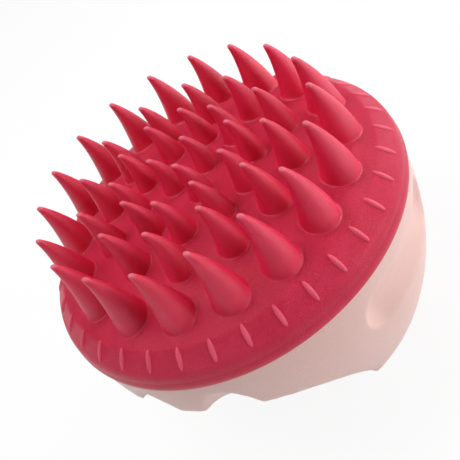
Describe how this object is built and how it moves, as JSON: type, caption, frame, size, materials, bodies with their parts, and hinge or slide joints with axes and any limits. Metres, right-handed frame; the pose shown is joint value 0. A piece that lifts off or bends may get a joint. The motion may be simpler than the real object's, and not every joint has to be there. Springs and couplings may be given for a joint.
{
  "type": "scalp brush",
  "caption": "Hand-held vibrating scalp brush: round soft bristle head that twists off a palm-shaped body with a scooped, scalloped finger side and a push button in its back.",
  "frame": {"origin": "centre of the flat back, on the axis of the bristle head", "axes": "+Z along the bristles, away from the flat back; +X towards the palm dome; -X towards the finger scoop"},
  "size_m": [0.0864, 0.0864, 0.0623],
  "materials": {
    "pad_silicone": "satin silicone",
    "body_plastic": "fine matte grain",
    "carrier_plastic": "moulded",
    "inner_plastic": "moulded",
    "seal_rubber": "soft",
    "button_plastic": "satin",
    "board_laminate": "lacquered",
    "switch_plastic": "moulded",
    "spring_steel": "nickel plated",
    "screw_steel": "zinc plated",
    "cell_sleeve": "printed sleeve",
    "motor_steel": "plated",
    "weight_brass": "plain",
    "lead_sleeve": "insulation"
  },
  "bodies": {
    "body": {"bayonet_ring": "inner_plastic", "head_seal": "seal_rubber", "body_shell": "body_plastic", "button_boot": "seal_rubber", "boot_retainer": "inner_plastic", "circuit_board": "board_laminate", "tact_switch": "switch_plastic", "board_screws": "screw_steel", "battery_tray": "inner_plastic", "cell_one": "cell_sleeve", "cell_two": "cell_sleeve", "positive_contact": "spring_steel", "negative_contact": "spring_steel", "bridge_contact": "spring_steel", "tray_screws": "screw_steel", "motor_can": "motor_steel", "motor_cradle": "inner_plastic", "motor_strap": "spring_steel", "strap_screws": "screw_steel", "motor_leads": "lead_sleeve", "battery_leads": "lead_sleeve"},
    "head": {"bristle_pad": "pad_silicone", "pad_carrier": "carrier_plastic"},
    "button": {"power_button": "button_plastic"},
    "plunger": {"switch_plunger": "switch_plastic"},
    "rotor": {"motor_shaft": "motor_steel", "eccentric_weight": "weight_brass"}
  },
  "joints": [
    {"name": "head_twist", "type": "hinge", "parent": "body", "child": "head", "pos_m": [0, 0, 0.038], "axis": [0, 0, 1], "range_deg": [0, 30]},
    {"name": "button_press", "type": "slide", "parent": "body", "child": "button", "axis": [0, 0, 1], "range_m": [0, 0.0006], "stiffness_N_per_m": 3000},
    {"name": "plunger_press", "type": "slide", "parent": "body", "child": "plunger", "axis": [0, 0, 1], "range_m": [0, 0.0006]},
    {"name": "motor_spin", "type": "hinge", "parent": "body", "child": "rotor", "pos_m": [-0.0066, 0, 0.0302], "axis": [0, 1, 0], "continuous": true}
  ],
  "couplings": [
    {"joint": "plunger_press", "follows": "button_press", "ratio": 1}
  ]
}
